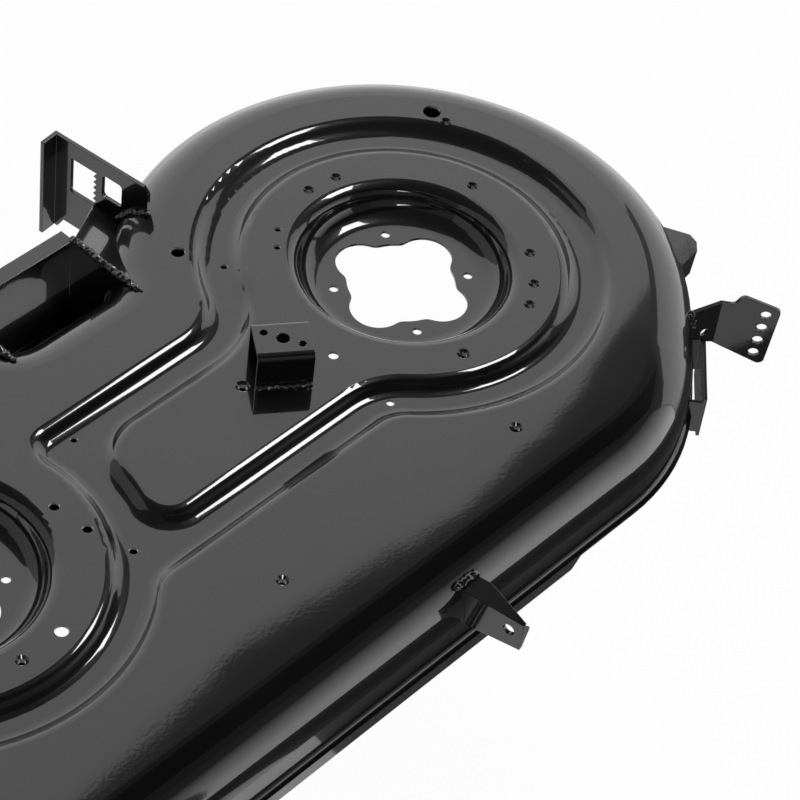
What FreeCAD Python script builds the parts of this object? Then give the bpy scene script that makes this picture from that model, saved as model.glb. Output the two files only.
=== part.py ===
import FreeCAD, Part
import math
import os

# Lawn mower deck: a stamped steel shell with two spindle wells, welded brackets and a rear skirt.
# Frame: the origin is the centre of the left spindle bolt circle, on top of the well floor.
# +X runs along the deck to its closed end, +Y to the rear and +Z up. All lengths are millimetres.

V = FreeCAD.Vector
UP = V(0, 0, 1)

# Sheet thickness of the stamped shell, and of the welded brackets
SHEET = 2.7
PLATE = 4.0
STRIP = 3.0

# Heights of the shell above the spindle well floor
TOP = 28.0
BOTTOM = -50.0

# Spindles: a round lobe of the shell about each, a gap between the lobes, and how far the right
# spindle sits to the rear
LOBE_RADIUS = 268.0
LOBE_GAP = 14.0
SPINDLE_SPACING = 2 * LOBE_RADIUS + LOBE_GAP
SPINDLE_OFFSET = 11.0
LEFT = V(0, 0, 0)
RIGHT = V(-SPINDLE_SPACING, SPINDLE_OFFSET, 0)

# Shell outline, seen from above
FRONT_MARGIN = 29.0
FRONT = LOBE_RADIUS + FRONT_MARGIN
REAR_STRAIGHT = 159.0
REAR_CORNER = 35.0
SHOULDER = 45.0
CLOSED_CORNER_START = -45.0
CLOSED_SIDE_RADIUS = 700.0
CLOSED_SIDE_TURN = 8.0
CHUTE_CORNER = 60.0

# Flange turned out round the bottom edge of the shell
LIP_WIDTH = 5.0
LIP_BEND = 3.0

# Channel pressed round the spindles, and between them
CHANNEL_INNER = 141.0
CHANNEL_WIDTH = 54.0
CHANNEL_OUTER = CHANNEL_INNER + CHANNEL_WIDTH
CHANNEL_WALL = 21.0
CHANNEL_DEPTH = 9.0
CHANNEL_ROUND = 13.0
REAR_CHANNEL_Y = 66.0
FRONT_CHANNEL_Y = -75.0
REAR_BEND = 50.0
FRONT_BEND = 30.0
HOOK_RADIUS = 30.0
ISLAND_REAR_CORNER = 45.0
ISLAND_FRONT_CORNER = 18.0
CHANNEL_END_ANGLE = -150.0

# Spindle wells
WELL_TOP_RADIUS = 109.0
WELL_FOOT_RADIUS = 73.0
WELL_ROUND = 14.0

# Spindle opening with four lobes, and the bolts round it
BOLT_CIRCLE = 125.7
BOLT_TURN = 56.6
BOLT_HOLE = 8.4
BOLT_COUNT = 4
OPENING_RADIUS = 50.0
OPENING_LOBE_RADIUS = 25.0
OPENING_LOBE_CENTRE = 41.5
OPENING_BLEND = 12.0

# Discharge opening in the side wall at the right end
DISCHARGE_MARGIN = 15.0
DISCHARGE_FRONT = CHUTE_CORNER + DISCHARGE_MARGIN - FRONT
DISCHARGE_REAR = -18.0
DISCHARGE_TOP = -4.0

# Plain holes in the shell, round the left and the right spindle: place from the spindle, and radius
PLAIN_HOLES_LEFT = {
    "rear vent": (167.0, 121.0, 8.5),
    "rear": (-147.0, 141.0, 6.5),
    "channel rear": (-122.0, 107.0, 3.5),
    "plateau upper": (-58.0, 103.0, 3.2),
    "plateau lower": (-75.0, 87.0, 3.2),
    "island": (-134.0, -41.0, 4.6),
    "channel front": (-131.0, -108.0, 3.6),
}
PLAIN_HOLES_RIGHT = {
    "hook": (186.0, 30.0, 3.4),
    "plateau rear": (118.0, -20.0, 4.6),
    "plateau side": (122.0, -56.0, 4.6),
    "channel": (139.0, -93.0, 3.8),
    "plateau front": (34.0, -121.0, 6.0),
    "small": (156.0, 30.0, 1.2),
}

# Holes drawn down into a short thread collar, given in the same way
DRAWN_HOLES_LEFT = {
    "rim 1": (167.0, 103.0, 2.8),
    "rim 2": (0.6, 121.5, 2.8),
    "rim 3": (32.0, 117.0, 2.8),
    "rim 4": (120.0, 26.0, 2.8),
    "rim 5": (94.0, -69.0, 2.8),
    "rim 6": (67.0, -98.0, 2.8),
    "rim 7": (44.0, -113.0, 2.8),
    "rim 8": (-46.0, -115.0, 3.6),
    "front": (-77.0, -205.0, 3.6),
    "beside bracket": (-219.5, -15.0, 4.2),
}
DRAWN_HOLES_RIGHT = {
    "front": (202.0, -202.0, 3.2),
    "rim": (-9.0, -122.0, 3.2),
}
DRAWN_LIP = 2.4
DRAWN_WALL = 2.0
DRAWN_DEPTH = 4.0

# Rear skirt: an upright panel between the lobes that hangs below the edge of the shell, with a flange
# along its top and two ends turned forward
SKIRT_GAP = 56.0
SKIRT_Y = REAR_STRAIGHT + SKIRT_GAP
SKIRT_TOP = 25.0
SKIRT_DROP = 26.0
SKIRT_FOOT = BOTTOM - SKIRT_DROP
SKIRT_FLANGE = 16.0
SKIRT_SET_IN = 63.0
SKIRT_END = SKIRT_SET_IN - LOBE_RADIUS
SKIRT_WELD_SHARE = 0.7

# Rear hangers: an upright plate with a toothed window, standing on the shell
HANGER_SET_IN = 31.1
HANGER_ANGLE = 124.2
HANGER_TURN = 96.3
HANGER_LENGTH = 108.7
HANGER_TOP = 56.0
HANGER_BOTTOM = -44.0
HANGER_CHAMFER = 6.0
HANGER_FLANGE = 17.0
HANGER_FLANGE_BOTTOM = -56.0
HANGER_NOTCH = 11.0
WINDOW_START = 60.0
WINDOW_END = 90.5
WINDOW_LOW = -3.0
WINDOW_HIGH = 38.0
TEETH = 6
TOOTH_DEPTH = 3.6
TOOTH_SLOPE = 0.75
SLOT_START = 30.0
SLOT_END = 53.0
SLOT_LOW = 15.0
SLOT_HIGH = 41.0
SLOT_ROUND = 4.0

# Web between the hanger and the end of the skirt
WEB_LOW = -4.0
WEB_LENGTH = 66.0

# Bracket on top of the shell, an upside down channel
BRACKET_CENTRE = LEFT + V(-180.0, -21.0, 0)
BRACKET_TURN = -36.0
BRACKET_WIDTH = 50.0
BRACKET_DEPTH = 43.6
BRACKET_HEIGHT = 37.0
BRACKET_BEND = 6.0
BRACKET_HOLE_LINE = -63.0
BRACKET_HOLE_PITCH = 17.6
BRACKET_BIG_HOLE = 6.0
BRACKET_SMALL_HOLE = 3.6

# Front bracket: an upright plate with a top flange and a turned end
FRONT_BRACKET_X = -238.0
FRONT_BRACKET_SET_IN = 15.0
FRONT_BRACKET_TURN = -80.8
FRONT_BRACKET_LENGTH = 69.0
FRONT_BRACKET_TOP = 14.0
FRONT_BRACKET_BOTTOM = -26.0
FRONT_BRACKET_END = -17.0
FRONT_FLANGE_WIDTH = 22.0
FRONT_FLANGE_LENGTH = 45.0
FRONT_TAB = 12.0
FRONT_HOLE_BACK = 13.0
FRONT_HOLE_DROP = 14.0
FRONT_HOLE = 5.5

# Gauge wheel bracket at the closed end: a leg on the shell and a plate with four holes
GAUGE_ANGLE = -48.7
GAUGE_LEG_TURN = -17.0
GAUGE_LEG = 30.6
GAUGE_LEG_INSIDE = 16.0
GAUGE_LEG_DEPTH = 38.0
GAUGE_PLATE_TURN = -53.0
GAUGE_PLATE_DEPTH = 51.0
GAUGE_BEND = 7.0
GAUGE_SHEET = 3.4
GAUGE_STEP = 12.5
GAUGE_PEAK_AT = 18.5
GAUGE_PEAK = 12.0
GAUGE_END = 56.0
GAUGE_FOOT_AT = 50.7
GAUGE_FOOT = 72.0
GAUGE_CORNER = 6.0
GAUGE_HOLE = 5.0
GAUGE_HOLES = 4
GAUGE_HOLE_AT = 42.9
GAUGE_HOLE_DROP = 7.9
GAUGE_HOLE_PITCH = 16.2
GAUGE_HOLE_LEAN = 1.0
GAUGE_SIDE_HOLE = 4.2
GAUGE_SIDE_HOLE_AT = 16.0
GAUGE_SIDE_HOLE_DROP = 33.0

# Rear bracket at the closed end: a flat tab with a flange turned down. Each corner is given by how far
# it lies outside the lobe, and its angle about the spindle.
TAB_Z = -16.0
TAB_DROP = 26.0
TAB_CORNERS = ((-14.7, -21.3), (1.0, -20.5), (27.2, -25.3), (29.4, -27.4), (25.3, -29.6), (-1.0, -34.0))

# Guard outside the front corner of the closed end
GUARD_TOP = -24.0
GUARD_BOTTOM = -72.0
GUARD_SET_OUT = 15.2
GUARD_ANGLE = -50.0
GUARD_TURN = 220.5
GUARD_LENGTH = 82.0
GUARD_RETURN = 30.0

# Bar under the front edge
BAR_START = -73.0
BAR_PAST = 150.0
BAR_END = RIGHT.x - BAR_PAST
BAR_BOTTOM = -72.0
BAR_FLANGE = 17.0
BAR_CHAMFER = 15.0

# Chute hinge on the discharge side: two lugs and a rod
LUG_DOWN = 6.0
LUG_IN = 6.0
LUG_Z = TOP - LUG_DOWN
LUG_X = RIGHT.x - LOBE_RADIUS + LUG_IN
LUG_RADIUS = 9.0
LUG_THICK = 4.0
ROD_RADIUS = 4.0
ROD_OVERHANG = 10.0
LUG_LEG = 36.0
LUG_REACH = 27.0

# Weld beads
BEAD = 3.0
BEAD_POINTS = 4
BEAD_ASIDE = 0.8

# Small numbers that let surfaces cross cleanly
LIFT = 0.03
CLEAR = 5.0
NEAR = 0.01


def way(turn):
    a = math.radians(turn)
    return V(math.cos(a), math.sin(a), 0)


def polar(centre, radius, angle):
    spot = centre + way(angle) * radius
    return V(spot.x, spot.y, 0)


def angle_of(centre, point):
    return math.degrees(math.atan2(point.y - centre.y, point.x - centre.x))


def walk(start, heading, steps, shift=0.0):
    # Follows tangent lines and arcs. A left turn is positive. The shift moves the path to its left.
    pieces = []
    direction = way(heading)
    left = UP.cross(direction)
    here = start + left * shift
    for kind, size, turn in steps:
        left = UP.cross(direction)
        if kind == "line":
            there = here + direction * size
            pieces.append(("line", here, there, direction, None, size))
            here = there
            continue
        side = 1.0 if turn > 0 else -1.0
        radius = size - side * shift
        centre = here + left * (side * radius)
        spin = FreeCAD.Rotation(UP, turn)
        half = FreeCAD.Rotation(UP, turn / 2.0)
        middle = centre + half.multVec(here - centre)
        there = centre + spin.multVec(here - centre)
        pieces.append(("arc", here, there, direction, centre, turn, middle))
        direction = spin.multVec(direction)
        here = there
    return pieces


def face_of(pieces, z):
    edges = []
    rise = V(0, 0, z)
    for piece in pieces:
        if piece[0] == "line":
            edges.append(Part.makeLine(piece[1] + rise, piece[2] + rise))
        else:
            arc = Part.Arc(piece[1] + rise, piece[6] + rise, piece[2] + rise)
            edges.append(arc.toShape())
    wire = Part.Wire(edges)
    return Part.Face(wire)


def prism(pieces, z_low, z_high):
    return face_of(pieces, z_low).extrude(V(0, 0, z_high - z_low))


def outline(shift):
    # Walks the shell outline with the inside on the left, from the front corner of the closed end.
    start = polar(LEFT, LOBE_RADIUS, CLOSED_CORNER_START)
    heading = CLOSED_CORNER_START + 90.0
    corner_turn = heading - CLOSED_SIDE_TURN
    corner_way = way(corner_turn)
    side_way = way(heading)
    rise_side = CLOSED_SIDE_RADIUS * (corner_way.x - side_way.x)
    run_side = CLOSED_SIDE_RADIUS * (side_way.y - corner_way.y)
    rise_corner = FRONT + start.y - rise_side
    corner_radius = rise_corner / (1.0 - corner_way.x)
    front_end = start.x - run_side - corner_radius * corner_way.y

    reach = LOBE_RADIUS + REAR_CORNER
    centre_y = REAR_STRAIGHT + REAR_CORNER
    left_fillet = V(LEFT.x - math.sqrt(reach ** 2 - (centre_y - LEFT.y) ** 2), centre_y, 0)
    right_fillet = V(RIGHT.x + math.sqrt(reach ** 2 - (centre_y - RIGHT.y) ** 2), centre_y, 0)
    left_angle = angle_of(LEFT, left_fillet)
    right_angle = angle_of(RIGHT, right_fillet)
    side_length = RIGHT.y + FRONT - CHUTE_CORNER
    front_length = front_end - (RIGHT.x - LOBE_RADIUS + CHUTE_CORNER)
    steps = [
        ("arc", LOBE_RADIUS, left_angle - CLOSED_CORNER_START),
        ("arc", REAR_CORNER, 90.0 - left_angle),
        ("line", left_fillet.x - right_fillet.x, 0),
        ("arc", REAR_CORNER, right_angle - 90.0),
        ("arc", LOBE_RADIUS, 180.0 - right_angle),
        ("line", side_length, 0),
        ("arc", CHUTE_CORNER, 90.0),
        ("line", front_length, 0),
        ("arc", corner_radius, corner_turn),
        ("arc", CLOSED_SIDE_RADIUS, CLOSED_SIDE_TURN),
    ]
    return walk(start, heading, steps, shift)


def outer_channel_edge(shift):
    # The outer edge of the pressed channel, walked with the channel on the left.
    rear_centre_y = REAR_CHANNEL_Y + REAR_BEND
    rear_reach = CHANNEL_OUTER + REAR_BEND
    rear_centre = V(-math.sqrt(rear_reach ** 2 - rear_centre_y ** 2), rear_centre_y, 0)
    low_y = FRONT_CHANNEL_Y - CHANNEL_WIDTH
    front_centre_y = low_y - FRONT_BEND
    front_reach = CHANNEL_OUTER + FRONT_BEND
    front_centre = V(-math.sqrt(front_reach ** 2 - front_centre_y ** 2), front_centre_y, 0)
    hook_y = REAR_CHANNEL_Y - HOOK_RADIUS
    hook_reach = CHANNEL_INNER + HOOK_RADIUS
    hook_x = RIGHT.x + math.sqrt(hook_reach ** 2 - (hook_y - RIGHT.y) ** 2)
    hook_centre = V(hook_x, hook_y, 0)
    far_x = RIGHT.x + math.sqrt(front_reach ** 2 - (front_centre_y - RIGHT.y) ** 2)
    far_centre = V(far_x, front_centre_y, 0)
    start_angle = angle_of(LEFT, front_centre)
    rear_angle = angle_of(LEFT, rear_centre)
    hook_angle = angle_of(RIGHT, hook_centre)
    far_angle = angle_of(RIGHT, far_centre)
    steps = [
        ("arc", CHANNEL_OUTER, rear_angle - start_angle),
        ("arc", REAR_BEND, 90.0 - rear_angle),
        ("line", rear_centre.x - hook_centre.x, 0),
        ("arc", HOOK_RADIUS, hook_angle + 90.0),
        ("arc", CHANNEL_INNER, CHANNEL_END_ANGLE - hook_angle),
        ("arc", CHANNEL_WIDTH / 2.0, 180.0),
        ("arc", CHANNEL_OUTER, far_angle - CHANNEL_END_ANGLE),
        ("arc", FRONT_BEND, -(far_angle + 90.0)),
        ("line", front_centre.x - far_centre.x, 0),
        ("arc", FRONT_BEND, start_angle + 90.0),
    ]
    return walk(polar(LEFT, CHANNEL_OUTER, start_angle), start_angle + 90.0, steps, shift)


def island_edge(shift):
    # The edge of the raised middle, walked clockwise so that the channel is again on the left.
    rear_y = REAR_CHANNEL_Y - CHANNEL_WIDTH
    rear_radius = REAR_BEND + CHANNEL_WIDTH
    rear_centre_y = REAR_CHANNEL_Y + REAR_BEND
    rear_reach = CHANNEL_INNER + rear_radius
    rear_centre = V(-math.sqrt(rear_reach ** 2 - rear_centre_y ** 2), rear_centre_y, 0)
    front_radius = FRONT_BEND + CHANNEL_WIDTH
    front_centre_y = FRONT_CHANNEL_Y - front_radius
    front_reach = CHANNEL_INNER + front_radius
    front_centre = V(-math.sqrt(front_reach ** 2 - front_centre_y ** 2), front_centre_y, 0)
    corner_y = FRONT_CHANNEL_Y + ISLAND_FRONT_CORNER
    corner_reach = CHANNEL_OUTER + ISLAND_FRONT_CORNER
    corner_x = RIGHT.x + math.sqrt(corner_reach ** 2 - (corner_y - RIGHT.y) ** 2)
    corner = V(corner_x, corner_y, 0)
    far_y = rear_y - ISLAND_REAR_CORNER
    far_reach = CHANNEL_OUTER + ISLAND_REAR_CORNER
    far_x = RIGHT.x + math.sqrt(far_reach ** 2 - (far_y - RIGHT.y) ** 2)
    far = V(far_x, far_y, 0)
    rear_angle = angle_of(LEFT, rear_centre)
    front_angle = angle_of(LEFT, front_centre)
    corner_angle = angle_of(RIGHT, corner)
    far_angle = angle_of(RIGHT, far)
    steps = [
        ("arc", CHANNEL_INNER, front_angle - rear_angle),
        ("arc", front_radius, -(front_angle + 90.0)),
        ("line", front_centre.x - corner.x, 0),
        ("arc", ISLAND_FRONT_CORNER, -(90.0 - corner_angle)),
        ("arc", CHANNEL_OUTER, far_angle - corner_angle),
        ("arc", ISLAND_REAR_CORNER, -(far_angle + 90.0)),
        ("line", rear_centre.x - far.x, 0),
        ("arc", rear_radius, rear_angle - 90.0),
    ]
    return walk(polar(LEFT, CHANNEL_INNER, rear_angle), rear_angle - 90.0, steps, shift)


def slope_points(run, drop, round_top, skin):
    # Points of a smooth S slope made of two arcs, moved into the sheet by the skin.
    lean = 2.0 * math.atan2(drop, run)
    round_foot = run / math.sin(lean) - round_top
    big = round_top - skin
    small = round_foot + skin
    top_y = TOP - round_top + LIFT
    foot_y = TOP - drop + round_foot + LIFT
    top_mid = (big * math.sin(lean / 2.0), top_y + big * math.cos(lean / 2.0))
    join = (big * math.sin(lean), top_y + big * math.cos(lean))
    foot_mid = (run - small * math.sin(lean / 2.0), foot_y - small * math.cos(lean / 2.0))
    return (0.0, top_y + big), top_mid, join, foot_mid, (run, foot_y - small)


def slope_face(origin, outward, run, drop, round_top, skin):
    # The area above the slope, drawn upright from the origin along the outward direction.
    points = [origin + outward * p[0] + UP * p[1] for p in slope_points(run, drop, round_top, skin)]
    high = TOP + CLEAR
    over_foot = V(points[4].x, points[4].y, high)
    over_top = V(points[0].x, points[0].y, high)
    edges = [
        Part.Arc(points[0], points[1], points[2]).toShape(),
        Part.Arc(points[2], points[3], points[4]).toShape(),
        Part.makeLine(points[4], over_foot),
        Part.makeLine(over_foot, over_top),
        Part.makeLine(over_top, points[0]),
    ]
    return Part.Face(Part.Wire(edges))


def channel_cutter(skin):
    floor = TOP - CHANNEL_DEPTH - skin + LIFT
    outer = prism(outer_channel_edge(CHANNEL_WALL), floor, TOP + CLEAR)
    island = prism(island_edge(CHANNEL_WALL), floor - CLEAR, TOP + 2 * CLEAR)
    solids = []
    for piece in outer_channel_edge(0.0) + island_edge(0.0):
        left = UP.cross(piece[3])
        face = slope_face(piece[1], left, CHANNEL_WALL, CHANNEL_DEPTH, CHANNEL_ROUND, skin)
        if piece[0] == "line":
            solids.append(face.extrude(piece[3] * piece[5]))
        else:
            axis = UP if piece[5] > 0 else UP * -1.0
            solids.append(face.revolve(piece[4], axis, abs(piece[5])))
    core = outer.cut(island)
    return core.fuse(solids)


def well_cutter(centre, skin):
    run = WELL_TOP_RADIUS - WELL_FOOT_RADIUS
    inward = V(-1, 0, 0)
    edge = V(centre.x + WELL_TOP_RADIUS, centre.y, 0)
    face = slope_face(edge, inward, run, TOP, WELL_ROUND, skin)
    ring = face.revolve(centre, UP, 360)
    floor = -skin + LIFT
    base = V(centre.x, centre.y, floor)
    core = Part.makeCylinder(WELL_FOOT_RADIUS, TOP + CLEAR - floor, base)
    return core.fuse(ring)


def edges_at(shape, z):
    # The edges that lie level at one height.
    found = []
    for edge in shape.Edges:
        bounds = edge.BoundBox
        if abs(bounds.ZMin - z) < NEAR and abs(bounds.ZMax - z) < NEAR:
            found.append(edge)
    return found


def edges_long(shape, length):
    # The straight edges of one length.
    return [edge for edge in shape.Edges if abs(edge.Length - length) < NEAR]


def biggest(shape):
    return max(shape.Solids, key=lambda solid: solid.Volume)


def rounded_body(shift, z_low, z_high, radius):
    body = prism(outline(shift), z_low, z_high)
    return body.makeFillet(radius, edges_at(body, z_high))


def area(corners):
    return Part.Face(Part.makePolygon(list(corners) + [corners[0]]))


def upright(origin, turn, points):
    # An upright face: points give the distance along the turn and the height.
    return area([origin + way(turn) * p[0] + UP * p[1] for p in points])


def plate(origin, turn, points, thick):
    # An upright plate that grows to the right of its face.
    return upright(origin, turn, points).extrude(way(turn).cross(UP) * thick)


def cross_hole(origin, turn, along_by, height, radius):
    # A round cutter through an upright plate.
    right = way(turn).cross(UP)
    base = origin + way(turn) * along_by + UP * height - right * 2 * CLEAR
    return Part.makeCylinder(radius, 4 * CLEAR, base, right)


def box(x_low, x_high, y_low, y_high, z_low, z_high):
    return Part.makeBox(x_high - x_low, y_high - y_low, z_high - z_low, V(x_low, y_low, z_low))


def bead_through(points):
    # A weld bead: round bars from point to point with round joints.
    solid = Part.makeSphere(BEAD, points[0])
    for first, second in zip(points[:-1], points[1:]):
        run = second - first
        bar = Part.makeCylinder(BEAD, run.Length, first, run)
        solid = solid.fuse([bar, Part.makeSphere(BEAD, second)])
    return solid


def bead_where(face, body, aside):
    # The bead along the start of the longest line where a face meets a body, moved a little aside.
    lines = [Part.Wire(group) for group in Part.sortEdges(face.section(body).Edges)]
    line = max(lines, key=lambda wire: wire.Length)
    edge = max(line.Edges, key=lambda piece: piece.BoundBox.ZMax)
    return bead_through([point + aside * BEAD_ASIDE for point in edge.discretize(BEAD_POINTS)])


def mirrored(shape):
    # The same piece for the right lobe.
    flipped = shape.mirror(V(-SPINDLE_SPACING / 2.0, 0, 0), V(1, 0, 0))
    flipped.translate(V(0, SPINDLE_OFFSET, 0))
    return flipped


def save(shape, name):
    biggest(shape).exportStep("parts/" + name + ".step")


# The stamped shell: the outside skin less the same form moved in by the sheet thickness
full_body = rounded_body(0.0, BOTTOM, TOP, SHOULDER)
outside = full_body.cut(channel_cutter(0.0)).cut(well_cutter(LEFT, 0.0)).cut(well_cutter(RIGHT, 0.0))
inside = rounded_body(SHEET, BOTTOM - CLEAR, TOP - SHEET, SHOULDER - SHEET)
inside = inside.cut(channel_cutter(SHEET)).cut(well_cutter(LEFT, SHEET)).cut(well_cutter(RIGHT, SHEET))
lip = prism(outline(-LIP_WIDTH), BOTTOM, BOTTOM + SHEET)
lip_body = outside.fuse(lip)
bend_edges = []
for edge in edges_at(lip_body, BOTTOM + SHEET):
    corner = Part.Vertex(edge.valueAt(edge.FirstParameter))
    if full_body.distToShape(corner)[0] < NEAR:
        bend_edges.append(edge)
lip_body = lip_body.makeFillet(LIP_BEND, bend_edges)
shell = lip_body.cut(inside)

# Spindle openings with their bolt holes
for centre in (LEFT, RIGHT):
    low = V(centre.x, centre.y, -SHEET - CLEAR)
    tall = SHEET + 2 * CLEAR
    opening = Part.makeCylinder(OPENING_RADIUS, tall, low)
    for count in range(BOLT_COUNT):
        turn = BOLT_TURN + count * 360.0 / BOLT_COUNT
        lobe = polar(centre, OPENING_LOBE_CENTRE, turn + 180.0 / BOLT_COUNT)
        opening = opening.fuse(Part.makeCylinder(OPENING_LOBE_RADIUS, tall, V(lobe.x, lobe.y, low.z)))
    opening = opening.removeSplitter()
    opening = opening.makeFillet(OPENING_BLEND, edges_long(opening, tall))
    shell = shell.cut(opening)
    for count in range(BOLT_COUNT):
        bolt = polar(centre, BOLT_CIRCLE / 2.0, BOLT_TURN + count * 360.0 / BOLT_COUNT)
        shell = shell.cut(Part.makeCylinder(BOLT_HOLE / 2.0, tall, V(bolt.x, bolt.y, low.z)))

# Plain and drawn holes on the top
collars = []
cutters = []
deep = TOP - CHANNEL_DEPTH - 2 * CLEAR
under = TOP - SHEET - DRAWN_DEPTH
for centre, plain, drawn in (
    (LEFT, PLAIN_HOLES_LEFT, DRAWN_HOLES_LEFT),
    (RIGHT, PLAIN_HOLES_RIGHT, DRAWN_HOLES_RIGHT),
):
    for x, y, radius in plain.values():
        spot = centre + V(x, y, deep)
        cutters.append(Part.makeCylinder(radius, TOP + CLEAR - deep, spot))
    for x, y, radius in drawn.values():
        spot = centre + V(x, y, deep)
        below = spot + UP * (under - deep)
        collars.append(Part.makeCylinder(radius + DRAWN_WALL, DRAWN_DEPTH + SHEET / 2.0, below))
        cutters.append(Part.makeCylinder(radius, TOP + CLEAR - deep, spot))
        rim = spot + UP * (TOP - DRAWN_LIP + LIFT - deep)
        cutters.append(Part.makeCone(radius, radius + DRAWN_LIP, DRAWN_LIP, rim))
shell = shell.fuse(collars).cut(cutters)

# Discharge opening
side = RIGHT.x - LOBE_RADIUS
side_in = side + SHOULDER
side_out = side - 2 * CLEAR
shell = shell.cut(box(side_out, side_in, DISCHARGE_FRONT, DISCHARGE_REAR, BOTTOM - CLEAR, DISCHARGE_TOP))
save(shell, "deck_shell")

# What the welded pieces stand against
solid_deck = lip_body

# Rear skirt
mid_x = -SPINDLE_SPACING / 2.0
far_end = 2 * mid_x - SKIRT_END
back = SKIRT_Y + STRIP
under_dome = REAR_STRAIGHT - SHOULDER
skirt = box(far_end, SKIRT_END, SKIRT_Y, back, SKIRT_FOOT, SKIRT_TOP)
skirt = skirt.fuse(box(far_end, SKIRT_END, SKIRT_Y, SKIRT_Y + SKIRT_FLANGE, SKIRT_TOP - STRIP, SKIRT_TOP))
skirt = skirt.fuse(box(SKIRT_END - STRIP, SKIRT_END, under_dome, back, BOTTOM, SKIRT_TOP))
skirt = skirt.fuse(box(far_end, far_end + STRIP, under_dome, back, BOTTOM, SKIRT_TOP))
skirt = biggest(skirt.removeSplitter().cut(solid_deck))
save(skirt, "rear_skirt")

# Rear hanger plate with its toothed window, its slot and its flange
hanger_origin = polar(LEFT, LOBE_RADIUS - HANGER_SET_IN, HANGER_ANGLE)
profile = [
    (0, 0),
    (0, HANGER_TOP - HANGER_CHAMFER),
    (HANGER_CHAMFER, HANGER_TOP),
    (HANGER_LENGTH, HANGER_TOP),
    (HANGER_LENGTH, HANGER_FLANGE_BOTTOM),
    (HANGER_LENGTH - HANGER_NOTCH / 3.0, HANGER_FLANGE_BOTTOM),
    (HANGER_LENGTH - HANGER_NOTCH, HANGER_BOTTOM),
    (0, HANGER_BOTTOM),
]
hanger = plate(hanger_origin, HANGER_TURN, profile, PLATE)
pitch = (WINDOW_HIGH - WINDOW_LOW) / TEETH
window = [(WINDOW_END, WINDOW_LOW), (WINDOW_END, WINDOW_HIGH)]
for tooth in range(TEETH):
    top = WINDOW_HIGH - tooth * pitch
    window.append((WINDOW_START, top))
    window.append((WINDOW_START + TOOTH_DEPTH, top - pitch * TOOTH_SLOPE))
window.append((WINDOW_START, WINDOW_LOW))
hanger = hanger.cut(plate(hanger_origin, HANGER_TURN, window, PLATE))
slot_points = [(SLOT_START, SLOT_LOW), (SLOT_END, SLOT_LOW), (SLOT_END, SLOT_HIGH), (SLOT_START, SLOT_HIGH)]
slot = plate(hanger_origin, HANGER_TURN, slot_points, PLATE)
hanger = hanger.cut(slot.makeFillet(SLOT_ROUND, edges_long(slot, PLATE)))
along = way(HANGER_TURN)
flange_origin = hanger_origin + along * HANGER_LENGTH + along.cross(UP) * PLATE
flange_points = [
    (0, HANGER_FLANGE_BOTTOM),
    (0, HANGER_TOP),
    (HANGER_FLANGE + PLATE, HANGER_TOP),
    (HANGER_FLANGE + PLATE, HANGER_FLANGE_BOTTOM),
]
flange = plate(flange_origin, HANGER_TURN + 90.0, flange_points, PLATE)
hanger = biggest(hanger.fuse(flange).removeSplitter().cut(solid_deck))
save(hanger, "left_rear_hanger")
right_hanger = mirrored(hanger).cut(solid_deck)
save(right_hanger, "right_rear_hanger")

# Web that ties each hanger to the skirt
web_corners = [
    V(SKIRT_END, SKIRT_Y, SKIRT_TOP),
    V(SKIRT_END, under_dome, SKIRT_TOP),
    hanger_origin + V(0, -SHOULDER, WEB_LOW),
    hanger_origin + V(0, WEB_LENGTH, WEB_LOW),
]
web = area(web_corners).extrude(V(0, 0, -STRIP))
web = biggest(web.cut(solid_deck).cut(hanger).cut(skirt))
save(web, "left_hanger_web")
right_web = biggest(mirrored(web).cut(solid_deck).cut(right_hanger).cut(skirt))
save(right_web, "right_hanger_web")

# Welds of the hangers on the domes, and of the webs along the ends of the skirt
hanger_aside = UP - along.cross(UP)
hanger_bead = bead_where(upright(hanger_origin, HANGER_TURN, profile), solid_deck, hanger_aside)
hanger_weld = biggest(hanger_bead.cut(solid_deck).cut(hanger).cut(web))
save(hanger_weld, "left_hanger_weld")
right_hanger_weld = biggest(mirrored(hanger_weld).cut(solid_deck).cut(right_hanger).cut(right_web))
save(right_hanger_weld, "right_hanger_weld")
weld_front = REAR_STRAIGHT - SHOULDER * SKIRT_WELD_SHARE
skirt_bead = bead_through([V(SKIRT_END, SKIRT_Y, SKIRT_TOP), V(SKIRT_END, weld_front, SKIRT_TOP)])
skirt_weld = biggest(skirt_bead.cut(solid_deck).cut(skirt).cut(web))
save(skirt_weld, "left_skirt_weld")
right_skirt_weld = biggest(mirrored(skirt_weld).cut(solid_deck).cut(skirt).cut(right_web))
save(right_skirt_weld, "right_skirt_weld")

# Bracket on top of the shell
half = BRACKET_DEPTH / 2.0
high = TOP + BRACKET_HEIGHT
across = way(BRACKET_TURN)
deepwise = UP.cross(across)
start = BRACKET_CENTRE - across * (BRACKET_WIDTH / 2.0)


def channel_block(inset):
    # The outer or inner block of the upside down channel, with its bends rounded.
    corners = []
    for side, z in ((-1, TOP), (-1, high - inset), (1, high - inset), (1, TOP)):
        corners.append(start + deepwise * (side * (half - inset)) + UP * z)
    block = area(corners).extrude(across * BRACKET_WIDTH)
    bends = [edge for edge in edges_at(block, high - inset) if abs(edge.Length - BRACKET_WIDTH) < NEAR]
    return block.makeFillet(BRACKET_BEND - inset, bends)


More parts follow.
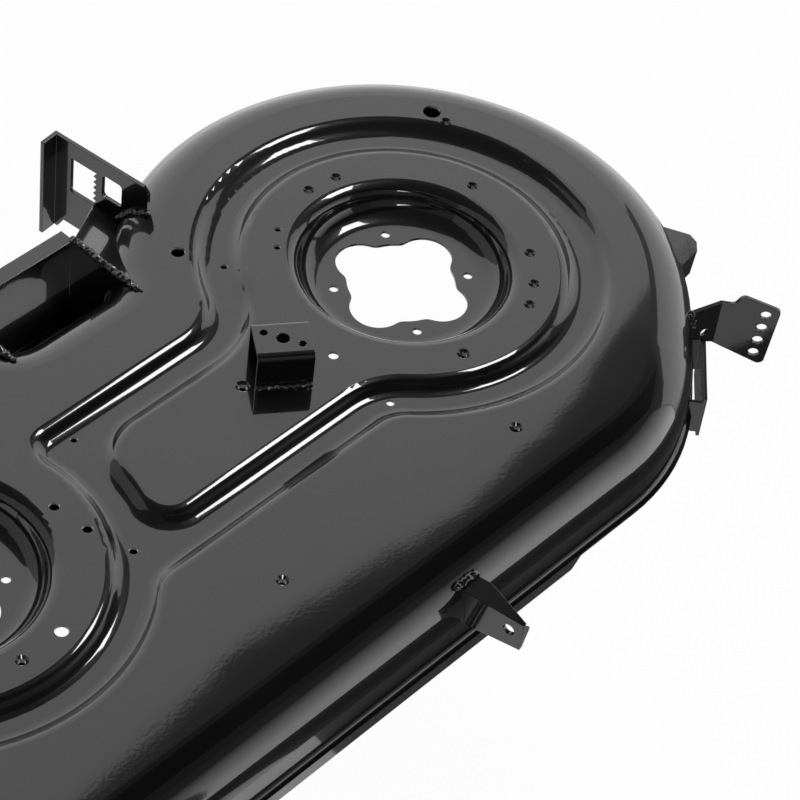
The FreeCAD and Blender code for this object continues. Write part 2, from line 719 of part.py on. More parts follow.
bracket = channel_block(0.0).cut(channel_block(STRIP))
hole_line = way(BRACKET_HOLE_LINE)
for place, radius in ((-1, BRACKET_SMALL_HOLE), (0, BRACKET_BIG_HOLE), (1, BRACKET_SMALL_HOLE)):
    spot = BRACKET_CENTRE + hole_line * (place * BRACKET_HOLE_PITCH) + UP * (high - 2 * STRIP)
    bracket = bracket.cut(Part.makeCylinder(radius, 3 * STRIP, spot))
save(bracket, "top_bracket")
foot = BRACKET_CENTRE - deepwise * half + UP * TOP
foot_half = across * (BRACKET_WIDTH / 2.0 - BEAD)
foot_bead = bead_through([foot - foot_half, foot + foot_half])
save(foot_bead.cut(solid_deck).cut(channel_block(0.0)), "top_bracket_weld")

# Front bracket
front_origin = V(FRONT_BRACKET_X, FRONT_BRACKET_SET_IN - FRONT, 0)
front_points = [
    (0, FRONT_BRACKET_BOTTOM),
    (0, FRONT_BRACKET_TOP),
    (FRONT_BRACKET_LENGTH, FRONT_BRACKET_TOP),
    (FRONT_BRACKET_LENGTH, FRONT_BRACKET_END),
]
front = plate(front_origin, FRONT_BRACKET_TURN, front_points, -PLATE)
front_hole_at = FRONT_BRACKET_LENGTH - FRONT_HOLE_BACK
front_hole_z = FRONT_BRACKET_TOP - FRONT_HOLE_DROP
front = front.cut(cross_hole(front_origin, FRONT_BRACKET_TURN, front_hole_at, front_hole_z, FRONT_HOLE))
ahead = way(FRONT_BRACKET_TURN)
beside = UP.cross(ahead)
tip = front_origin + ahead * FRONT_BRACKET_LENGTH + UP * FRONT_BRACKET_TOP
root = tip - ahead * (FRONT_FLANGE_LENGTH + FRONT_FLANGE_WIDTH)
knee = tip - ahead * FRONT_FLANGE_LENGTH
wide = beside * FRONT_FLANGE_WIDTH
flange_face = area([tip, root, root + wide, knee + wide, tip + beside * PLATE])
front_flange = flange_face.extrude(V(0, 0, -STRIP))
under_flange = FRONT_BRACKET_TOP - STRIP
tab_high = FRONT_BRACKET_TOP - FRONT_TAB
tab_points = [
    (0, FRONT_BRACKET_END),
    (0, under_flange),
    (PLATE, under_flange),
    (FRONT_TAB, tab_high),
    (FRONT_TAB, tab_high - PLATE),
    (PLATE, FRONT_BRACKET_END),
]
tab_origin = front_origin + ahead * (FRONT_BRACKET_LENGTH - STRIP)
front_tab = plate(tab_origin, FRONT_BRACKET_TURN + 90.0, tab_points, STRIP)
front = biggest(front.fuse([front_flange, front_tab]).removeSplitter().cut(solid_deck))
save(front, "front_bracket")
front_bead = bead_where(flange_face, solid_deck, UP + ahead)
save(front_bead.cut(solid_deck).cut(front), "front_bracket_weld")

# Gauge wheel bracket
gauge_origin = polar(LEFT, LOBE_RADIUS, GAUGE_ANGLE)
leg_points = [
    (-GAUGE_LEG_INSIDE, 0),
    (GAUGE_LEG, 0),
    (GAUGE_LEG, -GAUGE_PLATE_DEPTH),
    (0, -GAUGE_LEG_DEPTH),
    (-GAUGE_LEG_INSIDE, -GAUGE_LEG_DEPTH),
]
leg_face = upright(gauge_origin, GAUGE_LEG_TURN, leg_points)
leg_side = way(GAUGE_LEG_TURN).cross(UP) * GAUGE_SHEET
gauge_bend = gauge_origin + way(GAUGE_LEG_TURN) * GAUGE_LEG
arm_points = [
    (0, 0),
    (GAUGE_STEP, 0),
    (GAUGE_PEAK_AT, GAUGE_PEAK),
    (GAUGE_END, 0),
    (GAUGE_FOOT_AT, -GAUGE_FOOT),
    (0, -GAUGE_PLATE_DEPTH),
]
arm = plate(gauge_bend, GAUGE_PLATE_TURN, arm_points, GAUGE_SHEET)
bend_axis = Part.makeLine(gauge_bend - UP * GAUGE_FOOT, gauge_bend + UP * GAUGE_PEAK)
free = [edge for edge in edges_long(arm, GAUGE_SHEET) if edge.distToShape(bend_axis)[0] > GAUGE_CORNER]
arm = arm.makeFillet(GAUGE_CORNER, free)
gauge = leg_face.extrude(leg_side).fuse(arm).removeSplitter()
for number in range(GAUGE_HOLES):
    hole_at = GAUGE_HOLE_AT - number * GAUGE_HOLE_LEAN
    hole_z = -GAUGE_HOLE_DROP - number * GAUGE_HOLE_PITCH
    gauge = gauge.cut(cross_hole(gauge_bend, GAUGE_PLATE_TURN, hole_at, hole_z, GAUGE_HOLE))
side_hole_z = -GAUGE_SIDE_HOLE_DROP
gauge = gauge.cut(cross_hole(gauge_origin, GAUGE_LEG_TURN, GAUGE_SIDE_HOLE_AT, side_hole_z, GAUGE_SIDE_HOLE))
gauge = biggest(gauge.cut(solid_deck))
save(gauge, "front_gauge_bracket")
leg_face.translate(leg_side)
gauge_bead = bead_where(leg_face, solid_deck, leg_side / GAUGE_SHEET)
save(gauge_bead.cut(solid_deck).cut(gauge), "front_gauge_bracket_weld")

# Rear bracket of the closed end
tab_corners = [polar(LEFT, LOBE_RADIUS + out, turn) + UP * TAB_Z for out, turn in TAB_CORNERS]
rear_tab = area(tab_corners).extrude(V(0, 0, -GAUGE_SHEET))
drop_start = tab_corners[-2]
drop_length = drop_start.distanceToPoint(tab_corners[-1])
drop_low = -TAB_DROP
drop_points = [(0, 0), (drop_length, 0), (drop_length, drop_low), (CLEAR, drop_low)]
rear_drop = plate(drop_start, angle_of(drop_start, tab_corners[-1]), drop_points, GAUGE_SHEET)
rear_tab = biggest(rear_tab.fuse(rear_drop).removeSplitter().cut(solid_deck))
save(rear_tab, "rear_gauge_bracket")

# Guard at the closed end
guard_way = way(GUARD_TURN)
guard_start = polar(LEFT, LOBE_RADIUS + GUARD_SET_OUT, GUARD_ANGLE)
guard_low = GUARD_BOTTOM + CLEAR
guard_high = GUARD_TOP - CLEAR
guard_points = [
    (0, guard_low),
    (0, guard_high),
    (CLEAR, GUARD_TOP),
    (GUARD_LENGTH, GUARD_TOP),
    (GUARD_LENGTH, GUARD_BOTTOM),
    (CLEAR, GUARD_BOTTOM),
]
guard = plate(guard_start, GUARD_TURN, guard_points, STRIP)
return_points = [(0, guard_low), (0, guard_high), (GUARD_RETURN, guard_high), (GUARD_RETURN, guard_low)]
first_return = plate(guard_start + guard_way * STRIP, GUARD_TURN - 90.0, return_points, STRIP)
second_return = plate(guard_start + guard_way * GUARD_LENGTH, GUARD_TURN - 90.0, return_points, STRIP)
guard = guard.fuse([first_return, second_return]).removeSplitter().cut(solid_deck)
save(guard, "closed_end_guard")

# Bar under the front edge
bar_points = [
    V(BAR_START, -FRONT, BOTTOM),
    V(BAR_START, -FRONT, BOTTOM - 2 * STRIP),
    V(BAR_START - BAR_CHAMFER, -FRONT, BAR_BOTTOM),
    V(BAR_END, -FRONT, BAR_BOTTOM),
    V(BAR_END, -FRONT, BOTTOM),
]
bar = area(bar_points).extrude(V(0, STRIP, 0))
bar = bar.fuse(box(BAR_END, BAR_START, -FRONT, BAR_FLANGE - FRONT, BOTTOM - STRIP, BOTTOM))
save(bar.removeSplitter(), "front_bar")

# Chute hinge lugs and rod
forward = V(0, 1, 0)
for name, y in (("front_hinge_lug", DISCHARGE_FRONT - LUG_THICK), ("rear_hinge_lug", DISCHARGE_REAR)):
    lug = Part.makeCylinder(LUG_RADIUS, LUG_THICK, V(LUG_X, y, LUG_Z), forward)
    lug = lug.fuse(box(LUG_X - LUG_RADIUS, LUG_X + LUG_REACH, y, y + LUG_THICK, LUG_Z - LUG_LEG, LUG_Z))
    lug = lug.removeSplitter().cut(solid_deck)
    lug = max(lug.Solids, key=lambda solid: solid.CenterOfMass.z)
    save(lug.cut(Part.makeCylinder(ROD_RADIUS, LUG_THICK, V(LUG_X, y, LUG_Z), forward)), name)
rod_start = DISCHARGE_FRONT - LUG_THICK - ROD_OVERHANG
rod_length = DISCHARGE_REAR + LUG_THICK + ROD_OVERHANG - rod_start
rod = Part.makeCylinder(ROD_RADIUS, rod_length, V(LUG_X, rod_start, LUG_Z), forward)
save(rod, "hinge_rod")
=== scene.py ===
import math

import bmesh
import bpy
from mathutils import Matrix, Vector


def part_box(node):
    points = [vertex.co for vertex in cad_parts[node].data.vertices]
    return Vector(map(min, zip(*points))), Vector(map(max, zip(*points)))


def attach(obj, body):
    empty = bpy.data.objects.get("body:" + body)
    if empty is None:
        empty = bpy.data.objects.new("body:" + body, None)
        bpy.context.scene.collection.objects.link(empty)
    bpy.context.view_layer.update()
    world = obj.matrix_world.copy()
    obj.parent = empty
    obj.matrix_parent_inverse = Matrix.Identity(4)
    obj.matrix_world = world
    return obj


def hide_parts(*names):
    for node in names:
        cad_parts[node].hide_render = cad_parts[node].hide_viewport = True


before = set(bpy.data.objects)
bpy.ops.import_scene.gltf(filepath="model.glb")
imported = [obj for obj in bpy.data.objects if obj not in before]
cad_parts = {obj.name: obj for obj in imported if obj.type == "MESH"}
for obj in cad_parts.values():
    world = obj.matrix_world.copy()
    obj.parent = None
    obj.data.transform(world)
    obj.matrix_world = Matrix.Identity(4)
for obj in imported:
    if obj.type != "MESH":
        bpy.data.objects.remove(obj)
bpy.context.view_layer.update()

# The stamped shell: one sheet of 2.7 mm steel, deep drawn in a press into two domes, two spindle
# wells and the channel round them. It was dipped and sprayed with gloss black enamel and baked.
GLOSS_BLACK = "0B0B0C"


def linear(hex_code):
    # Turns a colour written as sRGB into the linear colour that the shader takes.
    parts = []
    for place in (0, 2, 4):
        value = int(hex_code[place:place + 2], 16) / 255
        parts.append(value / 12.92 if value <= 0.04045 else ((value + 0.055) / 1.055) ** 2.4)
    return (*parts, 1)


def add(tree, kind, settings, links):
    # Adds one node, with its settings and the sockets that feed it. A socket goes by name or number.
    node = tree.nodes.new(kind)
    for name, value in settings.items():
        if isinstance(name, int) or name in node.inputs.keys():
            node.inputs[name].default_value = value
        else:
            setattr(node, name, value)
    for name, source in links.items():
        tree.links.new(source, node.inputs[name])
    return node


# Baked enamel on pressed sheet: a clear mirror skin over a darker, softer body. The film levels
# itself into orange peel with cells of about 4 mm, and the sheet under it waves a few hundredths
# of a millimetre over 70 mm, so that reflections bend a little instead of lying dead straight.
ENAMEL_IOR = 1.5
BODY_SPECULAR = 0.1
PEEL_CELL = 4.0
SHEET_WAVE = 70.0
HAZE_PER_METRE = 9.0
shell_enamel = bpy.data.materials.new("baked_enamel_on_pressed_sheet")
shell_enamel.use_nodes = True
tree = shell_enamel.node_tree
tree.nodes.clear()
place = add(tree, "ShaderNodeTexCoord", {}, {})
peel = add(
    tree,
    "ShaderNodeTexNoise",
    {"Scale": 1000 / PEEL_CELL, "Detail": 2.0, "Roughness": 0.5},
    {"Vector": place.outputs["Object"]},
)
wave = add(
    tree,
    "ShaderNodeTexNoise",
    {"Scale": 1000 / SHEET_WAVE, "Detail": 1.0},
    {"Vector": place.outputs["Object"]},
)
waved = add(
    tree,
    "ShaderNodeBump",
    {"Strength": 0.12, "Distance": 0.0008},
    {"Height": wave.outputs["Fac"]},
)
peeled = add(
    tree,
    "ShaderNodeBump",
    {"Strength": 0.045, "Distance": 0.0002},
    {"Height": peel.outputs["Fac"], "Normal": waved.outputs["Normal"]},
)
haze = add(
    tree,
    "ShaderNodeTexNoise",
    {"Scale": HAZE_PER_METRE, "Detail": 3.0},
    {"Vector": place.outputs["Object"]},
)
dull = add(
    tree,
    "ShaderNodeMapRange",
    {"From Min": 0.3, "From Max": 0.7, "To Min": 0.24, "To Max": 0.34},
    {"Value": haze.outputs["Fac"]},
)
enamel = add(
    tree,
    "ShaderNodeBsdfPrincipled",
    {
        "Base Color": linear(GLOSS_BLACK),
        "IOR": ENAMEL_IOR,
        "Coat Weight": 1.0,
        "Coat Roughness": 0.045,
        "Coat IOR": ENAMEL_IOR,
        "Specular IOR Level": BODY_SPECULAR,
    },
    {
        "Roughness": dull.outputs["Result"],
        "Normal": peeled.outputs["Normal"],
        "Coat Normal": peeled.outputs["Normal"],
    },
)
add(tree, "ShaderNodeOutputMaterial", {}, {"Surface": enamel.outputs["BSDF"]})
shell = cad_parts["deck_shell"]
shell.data.materials.clear()
shell.data.materials.append(shell_enamel)
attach(shell, "root")

# Brackets, hangers, skirt, webs, guard and bar: punched and bent from hot rolled plate, with edges
# left by the punch, then welded to the shell before the same enamel went over everything. Plate has
# a coarser skin, so the film over it peels in cells of about 3 mm.
PLATE_CELL = 3.0
PLATE_WAVE = 25.0
PLATE_CORNER = 0.0008
plate_enamel = bpy.data.materials.new("baked_enamel_on_punched_plate")
plate_enamel.use_nodes = True
tree = plate_enamel.node_tree
tree.nodes.clear()
place = add(tree, "ShaderNodeTexCoord", {}, {})
peel = add(
    tree,
    "ShaderNodeTexNoise",
    {"Scale": 1000 / PLATE_CELL, "Detail": 3.0, "Roughness": 0.6},
    {"Vector": place.outputs["Object"]},
)
wave = add(
    tree,
    "ShaderNodeTexNoise",
    {"Scale": 1000 / PLATE_WAVE, "Detail": 1.0},
    {"Vector": place.outputs["Object"]},
)
corner = add(tree, "ShaderNodeBevel", {"samples": 8, "Radius": PLATE_CORNER}, {})
waved = add(
    tree,
    "ShaderNodeBump",
    {"Strength": 0.15, "Distance": 0.0006},
    {"Height": wave.outputs["Fac"], "Normal": corner.outputs["Normal"]},
)
peeled = add(
    tree,
    "ShaderNodeBump",
    {"Strength": 0.08, "Distance": 0.0002},
    {"Height": peel.outputs["Fac"], "Normal": waved.outputs["Normal"]},
)
enamel = add(
    tree,
    "ShaderNodeBsdfPrincipled",
    {
        "Base Color": linear(GLOSS_BLACK),
        "IOR": ENAMEL_IOR,
        "Roughness": 0.32,
        "Coat Weight": 1.0,
        "Coat Roughness": 0.05,
        "Coat IOR": ENAMEL_IOR,
        "Specular IOR Level": BODY_SPECULAR,
    },
    {"Normal": peeled.outputs["Normal"], "Coat Normal": peeled.outputs["Normal"]},
)
add(tree, "ShaderNodeOutputMaterial", {}, {"Surface": enamel.outputs["BSDF"]})
for name in (
    "rear_skirt",
    "left_rear_hanger",
    "right_rear_hanger",
    "left_hanger_web",
    "right_hanger_web",
    "top_bracket",
    "front_bracket",
    "front_gauge_bracket",
    "rear_gauge_bracket",
    "closed_end_guard",
    "front_bar",
    "front_hinge_lug",
    "rear_hinge_lug",
    "hinge_rod",
):
    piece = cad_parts[name]
    piece.data.materials.clear()
    piece.data.materials.append(plate_enamel)
    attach(piece, "root")

# Weld beads: wire-fed steel beads along the feet of the brackets, left as they cooled, in lumps and
# ripples of a few millimetres, and painted over with the rest. Each bead takes the plain bar of the
# frame, remeshed finely enough to carry its ripples. The film pulls thin over the crests, with a
# grain of about half a millimetre, drawn at 0.8 mm so that it shows.
CREST_GRAIN = 0.8
BEAD_MESH = 0.0006
MERGE = 0.00002
LUMP = 0.0042
LUMP_HEIGHT = 0.0026
LUMP_LEVEL = 0.15
RIPPLE = 0.0018
RIPPLE_HEIGHT = 0.0008
RIPPLE_LEVEL = 0.5
weld_enamel = bpy.data.materials.new("baked_enamel_on_weld_bead")
weld_enamel.use_nodes = True
tree = weld_enamel.node_tree
tree.nodes.clear()
place = add(tree, "ShaderNodeTexCoord", {}, {})
grain = add(
    tree,
    "ShaderNodeTexNoise",
    {"Scale": 1000 / CREST_GRAIN, "Detail": 2.0},
    {"Vector": place.outputs["Object"]},
)
grained = add(
    tree,
    "ShaderNodeBump",
    {"Strength": 0.25, "Distance": 0.0003},
    {"Height": grain.outputs["Fac"]},
)
enamel = add(
    tree,
    "ShaderNodeBsdfPrincipled",
    {
        "Base Color": linear(GLOSS_BLACK),
        "IOR": ENAMEL_IOR,
        "Roughness": 0.35,
        "Coat Weight": 1.0,
        "Coat Roughness": 0.05,
        "Coat IOR": ENAMEL_IOR,
        "Specular IOR Level": BODY_SPECULAR,
    },
    {"Normal": grained.outputs["Normal"], "Coat Normal": grained.outputs["Normal"]},
)
add(tree, "ShaderNodeOutputMaterial", {}, {"Surface": enamel.outputs["BSDF"]})
lump_pattern = bpy.data.textures.new("weld_lumps", "VORONOI")
lump_pattern.noise_scale = LUMP
ripple_pattern = bpy.data.textures.new("weld_ripples", "CLOUDS")
ripple_pattern.noise_scale = RIPPLE
for name in (
    "left_hanger_weld",
    "right_hanger_weld",
    "left_skirt_weld",
    "right_skirt_weld",
    "top_bracket_weld",
    "front_bracket_weld",
    "front_gauge_bracket_weld",
):
    bead_mesh = bmesh.new()
    bead_mesh.from_mesh(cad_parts[name].data)
    bmesh.ops.remove_doubles(bead_mesh, verts=bead_mesh.verts, dist=MERGE)
    bead_data = bpy.data.meshes.new(name + "_bead")
    bead_mesh.to_mesh(bead_data)
    bead_mesh.free()
    bead_data.materials.append(weld_enamel)
    bead = bpy.data.objects.new(name + "_bead", bead_data)
    bpy.context.collection.objects.link(bead)
    fine = bead.modifiers.new("fine_mesh", "REMESH")
    fine.mode = "VOXEL"
    fine.voxel_size = BEAD_MESH
    fine.use_smooth_shade = True
    for pattern, height, level in (
        (lump_pattern, LUMP_HEIGHT, LUMP_LEVEL),
        (ripple_pattern, RIPPLE_HEIGHT, RIPPLE_LEVEL),
    ):
        rough = bead.modifiers.new(pattern.name, "DISPLACE")
        rough.texture = pattern
        rough.texture_coords = "LOCAL"
        rough.strength = height
        rough.mid_level = level
    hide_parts(name)
    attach(bead, "root")

# The foot of the rear skirt: the panel's lower edge returns forward in a narrow flange, with a short
# cheek turned up at each end to meet the skirt's end plates. It stiffens the panel's free edge.
skirt_low, skirt_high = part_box("rear_skirt")
END_PLATE_FOOT = -0.050
FOOT_DEPTH = 0.031
SHEET_STEEL = 0.003
SKIRT_FLANGE_PAST = 0.016
foot_back = skirt_high[1] - SKIRT_FLANGE_PAST
foot_front = foot_back - FOOT_DEPTH
foot_mesh = bmesh.new()
strip = []
for x, y in (
    (skirt_low[0], foot_back),
    (skirt_low[0], foot_front),
    (skirt_high[0], foot_front),
    (skirt_high[0], foot_back),
):
    strip.append(foot_mesh.verts.new((x, y, skirt_low[2])))
flange = foot_mesh.faces.new(strip)
ends = []
for edge in flange.edges:
    if abs(edge.verts[0].co.x - edge.verts[1].co.x) < SHEET_STEEL:
        ends.append(edge)
for edge in ends:
    grown = bmesh.ops.extrude_edge_only(foot_mesh, edges=[edge])["geom"]
    lifted = [item for item in grown if isinstance(item, bmesh.types.BMVert)]
    bmesh.ops.translate(foot_mesh, vec=(0, 0, END_PLATE_FOOT - skirt_low[2]), verts=lifted)
bmesh.ops.recalc_face_normals(foot_mesh, faces=foot_mesh.faces)
bmesh.ops.solidify(foot_mesh, geom=foot_mesh.faces[:], thickness=SHEET_STEEL)
foot_data = bpy.data.meshes.new("rear_skirt_foot")
foot_mesh.to_mesh(foot_data)
foot_mesh.free()
foot_data.materials.append(plate_enamel)
foot = bpy.data.objects.new("rear_skirt_foot", foot_data)
bpy.context.collection.objects.link(foot)
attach(foot, "root")

# The studio: a pale floor well below the deck, which hangs clear of it as on a stand. To the camera
# and in mirrors it is nearly all plain white, and the rest of it is matt and takes the shadow.
FLOOR_Z = -0.55
FLOOR_REACH = 9.0
FLOOR_PALE = "D8D8D8"
WHITE_SHARE = 0.96
floor_mesh = bmesh.new()
bmesh.ops.create_grid(floor_mesh, x_segments=1, y_segments=1, size=FLOOR_REACH)
bmesh.ops.translate(floor_mesh, vec=(0, 0, FLOOR_Z), verts=floor_mesh.verts)
floor_data = bpy.data.meshes.new("studio_floor")
floor_mesh.to_mesh(floor_data)
floor_mesh.free()
floor = bpy.data.objects.new("studio_floor", floor_data)
bpy.context.collection.objects.link(floor)
pale = bpy.data.materials.new("pale_studio_floor")
pale.use_nodes = True
tree = pale.node_tree
tree.nodes.clear()
seen = add(tree, "ShaderNodeLightPath", {}, {})
mirrored = add(
    tree,
    "ShaderNodeMath",
    {"operation": "MAXIMUM"},
    {0: seen.outputs["Is Camera Ray"], 1: seen.outputs["Is Glossy Ray"]},
)
shown = add(
    tree,
    "ShaderNodeMath",
    {"operation": "MAXIMUM"},
    {0: mirrored.outputs["Value"], 1: seen.outputs["Is Transmission Ray"]},
)
matt = add(tree, "ShaderNodeBsdfDiffuse", {"Color": linear(FLOOR_PALE)}, {})
white = add(tree, "ShaderNodeEmission", {"Color": (1, 1, 1, 1), "Strength": 1.0}, {})
share = add(
    tree,
    "ShaderNodeMath",
    {"operation": "MULTIPLY", 1: WHITE_SHARE},
    {0: shown.outputs["Value"]},
)
mixed = add(
    tree,
    "ShaderNodeMixShader",
    {},
    {0: share.outputs["Value"], 1: matt.outputs["BSDF"], 2: white.outputs["Emission"]},
)
add(tree, "ShaderNodeOutputMaterial", {}, {"Surface": mixed.outputs["Shader"]})
floor_data.materials.append(pale)

# The studio's cards: large sheets stood round the deck, which a gloss black surface mirrors as its
# greys. The white one stands behind, with a sloping upper edge, and the others are dark flags. They
# show in mirrored rays only, so they neither light the deck nor hide the floor. Corners are given
# in metres, across and up each card, and the two radiances are at the deck and at GRADE_TOP.
HEADING = math.radians(37.374)
AWAY = Vector((math.cos(HEADING), math.sin(HEADING), 0))
LEFTWARD = Vector((-AWAY.y, AWAY.x, 0))
UPWARD = Vector((0, 0, 1))
EAST = Vector((1, 0, 0))
REARWARD = Vector((0, 1, 0))
DECK_MIDDLE = Vector((-0.2, 0, 0.028))
CARD_DISTANCE = 2.2
WALL_DISTANCE = 4.6
CEILING = 4.4
CARD_OVER_FLOOR = 0.01
CARD_EDGE = (
    (-4.6, -0.5),
    (-4.6, 1.9),
    (-1.15, 1.9),
    (-0.77, 1.25),
    (-0.44, 2.3),
    (-0.31, 2.58),
    (0.1, 3.1),
    (0.73, 4.3),
    (4.6, 4.3),
    (4.6, -0.5),
)
WALL = ((-4.6, -0.6), (-4.6, 4.4), (4.6, 4.4), (4.6, -0.6))
RIGHT_CARD = ((-0.75, -0.7), (-0.75, 1.35), (1.1, 1.35), (1.1, -0.7))
SHEET = ((-4.6, -4.6), (-4.6, 4.6), (4.6, 4.6), (4.6, -4.6))
FLAG = ((0.08, -2.5), (0.08, -0.45), (0.55, -0.45), (0.55, 0.2), (2.7, 0.2), (2.7, -2.5))
GRADE_TOP = 1.4
RIGHT_TURN = math.radians(-93.0)
TO_RIGHT_CARD = AWAY * math.cos(RIGHT_TURN) + LEFTWARD * math.sin(RIGHT_TURN)
ALONG_RIGHT_CARD = UPWARD.cross(TO_RIGHT_CARD)
to_back = AWAY * CARD_DISTANCE
to_wall = AWAY * WALL_DISTANCE
to_side = LEFTWARD * WALL_DISTANCE
to_right = TO_RIGHT_CARD * CARD_DISTANCE
to_ceiling = UPWARD * CEILING
to_floor = UPWARD * (FLOOR_Z + CARD_OVER_FLOOR)
for name, corners, centre, sideways, upright, radiance, top_radiance in (
    ("white_card", CARD_EDGE, to_back, LEFTWARD, UPWARD, 1.5, 1.6),
    ("back_flag", WALL, to_wall, LEFTWARD, UPWARD, 0.25, 0.25),
    ("left_card", WALL, to_side, AWAY, UPWARD, 0.6, 0.6),
    ("right_flag", WALL, -to_side, AWAY, UPWARD, 0.15, 0.15),
    ("right_card", RIGHT_CARD, to_right, ALONG_RIGHT_CARD, UPWARD, 2.7, 0.3),
    ("camera_side_flag", WALL, -to_wall, LEFTWARD, UPWARD, 0.25, 0.25),
    ("ceiling_flag", SHEET, to_ceiling, AWAY, LEFTWARD, 0.09, 0.09),
    ("floor_flag", FLAG, to_floor, EAST, REARWARD, 0.06, 0.06),
):
    card_mesh = bmesh.new()
    rim = []
    for across, along in corners:
        rim.append(card_mesh.verts.new(DECK_MIDDLE + centre + sideways * across + upright * along))
    card_mesh.faces.new(rim)
    card_data = bpy.data.meshes.new(name)
    card_mesh.to_mesh(card_data)
    card_mesh.free()
    card = bpy.data.objects.new(name, card_data)
    bpy.context.collection.objects.link(card)
    card.visible_camera = False
    card.visible_diffuse = False
    card.visible_shadow = False
    glow = bpy.data.materials.new(name + "_surface")
    glow.use_nodes = True
    tree = glow.node_tree
    tree.nodes.clear()
    place = add(tree, "ShaderNodeTexCoord", {}, {})
    split = add(tree, "ShaderNodeSeparateXYZ", {}, {"Vector": place.outputs["Object"]})
    graded = add(
        tree,
        "ShaderNodeMapRange",
        {"From Min": 0.0, "From Max": GRADE_TOP, "To Min": radiance, "To Max": top_radiance},
        {"Value": split.outputs["Z"]},
    )
    shine = add(
        tree,
        "ShaderNodeEmission",
        {"Color": (1, 1, 1, 1)},
        {"Strength": graded.outputs["Result"]},
    )
    add(tree, "ShaderNodeOutputMaterial", {}, {"Surface": shine.outputs["Emission"]})
    card_data.materials.append(glow)

# Softboxes: a small bright one high on the camera's right, which draws the white lines down the
# channel, and a square one behind the camera that shows in the wells. Each is given by its turn
# from the camera's heading and its rise, in degrees, its distance, width, height and radiance.
for name, turn, rise, distance, wide, tall, radiance in (
    ("channel_softbox", -49.0, 58.0, 2.4, 0.85, 0.45, 22.0),
    ("square_softbox", -169.0, 35.0, 2.6, 0.75, 0.75, 18.0),
):
    angle = HEADING + math.radians(turn)
    lift = math.radians(rise)
    level = math.cos(lift)
    direction = Vector((math.cos(angle) * level, math.sin(angle) * level, math.sin(lift)))
    lamp = bpy.data.lights.new(name, "AREA")
    lamp.shape = "RECTANGLE"
    lamp.size = wide
    lamp.size_y = tall
    lamp.energy = radiance * math.pi * wide * tall
    holder = bpy.data.objects.new(name, lamp)
    holder.location = DECK_MIDDLE + direction * distance
    holder.rotation_euler = (-direction).to_track_quat("-Z", "Y").to_euler()
    holder.visible_camera = False
    bpy.context.collection.objects.link(holder)

# A gobo: a narrow strip of black cloth hung over the front edge, which keeps the high softbox's
# line off the long front shoulder. The camera doesn't see it.
GOBO = ((-1.2, -0.41), (-1.2, -0.18), (0.45, -0.18), (0.45, -0.41))
GOBO_Z = 0.36
GOBO_AND_PAINTED_SHADE_BLACK = "060606"
gobo_mesh = bmesh.new()
rim = []
for x, y in GOBO:
    rim.append(gobo_mesh.verts.new((x, y, GOBO_Z)))
gobo_mesh.faces.new(rim)
gobo_data = bpy.data.meshes.new("front_gobo")
gobo_mesh.to_mesh(gobo_data)
gobo_mesh.free()
gobo = bpy.data.objects.new("front_gobo", gobo_data)
bpy.context.collection.objects.link(gobo)
gobo.visible_camera = False
gobo.visible_diffuse = False
# This black matt is the gobo's cloth and also the painted shade of the discs under the small holes
# below.
black = bpy.data.materials.new("black_gobo_cloth_and_painted_shade")
black.use_nodes = True
tree = black.node_tree
tree.nodes.clear()
cloth = add(tree, "ShaderNodeBsdfDiffuse", {"Color": linear(GOBO_AND_PAINTED_SHADE_BLACK)}, {})
add(tree, "ShaderNodeOutputMaterial", {}, {"Surface": cloth.outputs["BSDF"]})
gobo_data.materials.append(black)

# Painted shade: small black discs laid close under the small holes of the shell, so that the camera
# sees dark in them, in place of the shadowed floor under the deck, and not the white floor. They
# belong to the studio and not to the deck. Each is given by its hole's place and radius, in metres,
# and lies shifted along the camera's heading.
SMALL_HOLES = (
    (0.1670, 0.1210, 0.0085),
    (-0.1470, 0.1410, 0.0065),
    (-0.1220, 0.1070, 0.0035),
    (-0.0580, 0.1030, 0.0032),
    (-0.0750, 0.0870, 0.0032),
    (-0.3640, 0.0410, 0.0034),
    (-0.4320, -0.0090, 0.0046),
    (-0.4280, -0.0450, 0.0046),
    (-0.4110, -0.0820, 0.0038),
    (-0.3940, 0.0410, 0.0012),
    (0.1670, 0.1030, 0.0028),
    (0.0006, 0.1215, 0.0028),
    (0.0320, 0.1170, 0.0028),
    (0.1200, 0.0260, 0.0028),
    (0.0940, -0.0690, 0.0028),
    (0.0670, -0.0980, 0.0028),
    (0.0440, -0.1130, 0.0028),
    (-0.0460, -0.1150, 0.0036),
    (-0.0770, -0.2050, 0.0036),
    (-0.2195, -0.0150, 0.0042),
    (-0.3480, -0.1910, 0.0032),
    (-0.5590, -0.1110, 0.0032),
)
SHADE_DISC_Z = 0.0133
SHADE_DISC_SHIFT = 0.0137
SHADE_DISC_MARGIN = 0.012
SHADE_DISC_SIDES = 24
shade_disc_mesh = bmesh.new()
for x, y, radius in SMALL_HOLES:
    spot = Vector((x, y, SHADE_DISC_Z)) + AWAY * SHADE_DISC_SHIFT
    bmesh.ops.create_circle(
        shade_disc_mesh,
        cap_ends=True,
        segments=SHADE_DISC_SIDES,
        radius=radius + SHADE_DISC_MARGIN,
        matrix=Matrix.Translation(spot),
    )
shade_disc_data = bpy.data.meshes.new("painted_hole_shade")
shade_disc_mesh.to_mesh(shade_disc_data)
shade_disc_mesh.free()
hole_shade_discs = bpy.data.objects.new("painted_hole_shade", shade_disc_data)
bpy.context.collection.objects.link(hole_shade_discs)
# Painted shade: the discs are seen by the camera only, in black, where the floor under the deck lies
# in shadow.
hole_shade_discs.visible_glossy = False
hole_shade_discs.visible_diffuse = False
shade_disc_data.materials.append(black)

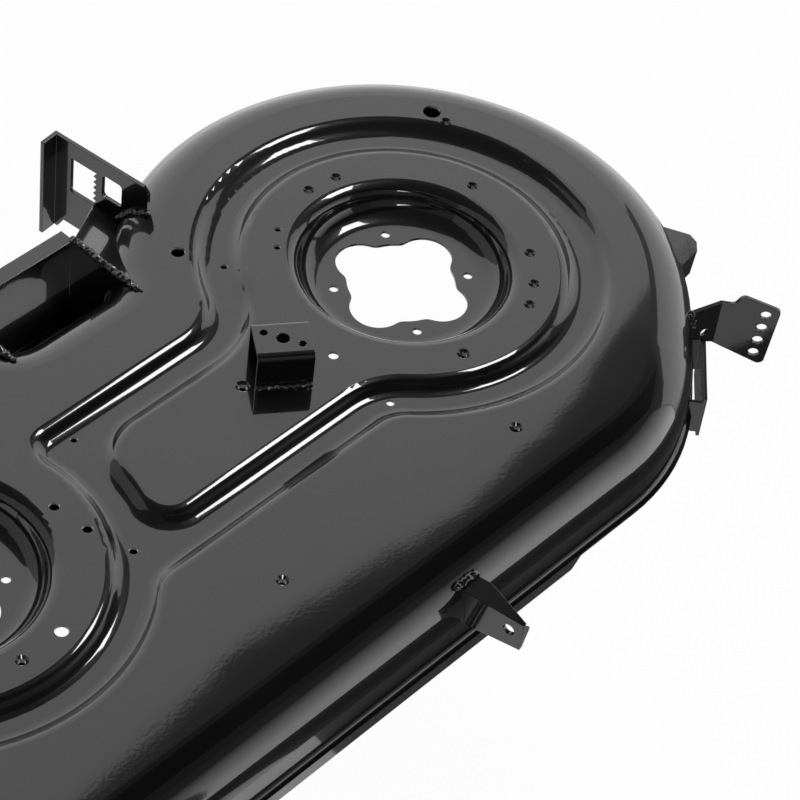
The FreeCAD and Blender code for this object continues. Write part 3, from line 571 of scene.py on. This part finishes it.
# The room: white to the camera and in mirrors, and an even pale grey as light.
ROOM_LIGHT = 0.5
ROOM_SEEN = 1.0
room = bpy.data.worlds.new("studio")
bpy.context.scene.world = room
room.use_nodes = True
tree = room.node_tree
tree.nodes.clear()
seen = add(tree, "ShaderNodeLightPath", {}, {})
mirrored = add(
    tree,
    "ShaderNodeMath",
    {"operation": "MAXIMUM"},
    {0: seen.outputs["Is Camera Ray"], 1: seen.outputs["Is Glossy Ray"]},
)
shown = add(
    tree,
    "ShaderNodeMath",
    {"operation": "MAXIMUM"},
    {0: mirrored.outputs["Value"], 1: seen.outputs["Is Transmission Ray"]},
)
dim = add(tree, "ShaderNodeBackground", {"Color": (1, 1, 1, 1), "Strength": ROOM_LIGHT}, {})
bright = add(tree, "ShaderNodeBackground", {"Color": (1, 1, 1, 1), "Strength": ROOM_SEEN}, {})
mixed = add(
    tree,
    "ShaderNodeMixShader",
    {},
    {0: shown.outputs["Value"], 1: dim.outputs["Background"], 2: bright.outputs["Background"]},
)
add(tree, "ShaderNodeOutputWorld", {}, {"Surface": mixed.outputs["Shader"]})

# The camera stands where the photograph was taken from, close and steep, turned a little on its
# own axis. Its lens is long, and the frame cuts the deck's far end off as the photograph does.
CAMERA_PLACE = Vector((-1.58606, -1.22929, 1.95103))
CAMERA_DOWN = math.radians(46.367)
CAMERA_ROLL = math.radians(-8.169)
LENS = 138.67
SENSOR = 36.0
forward = AWAY * math.cos(CAMERA_DOWN) - UPWARD * math.sin(CAMERA_DOWN)
side = Vector((AWAY.y, -AWAY.x, 0))
under = forward.cross(side)
across = side * math.cos(CAMERA_ROLL) + under * math.sin(CAMERA_ROLL)
down = under * math.cos(CAMERA_ROLL) - side * math.sin(CAMERA_ROLL)
camera_data = bpy.data.cameras.new("camera")
camera_data.lens = LENS
camera_data.sensor_width = SENSOR
camera = bpy.data.objects.new("camera", camera_data)
bpy.context.collection.objects.link(camera)
turned = camera.matrix_world.copy()
for row in range(3):
    turned[row][0] = across[row]
    turned[row][1] = -down[row]
    turned[row][2] = -forward[row]
    turned[row][3] = CAMERA_PLACE[row]
camera.matrix_world = turned
bpy.context.scene.camera = camera
bpy.context.scene.view_settings.view_transform = "Standard"
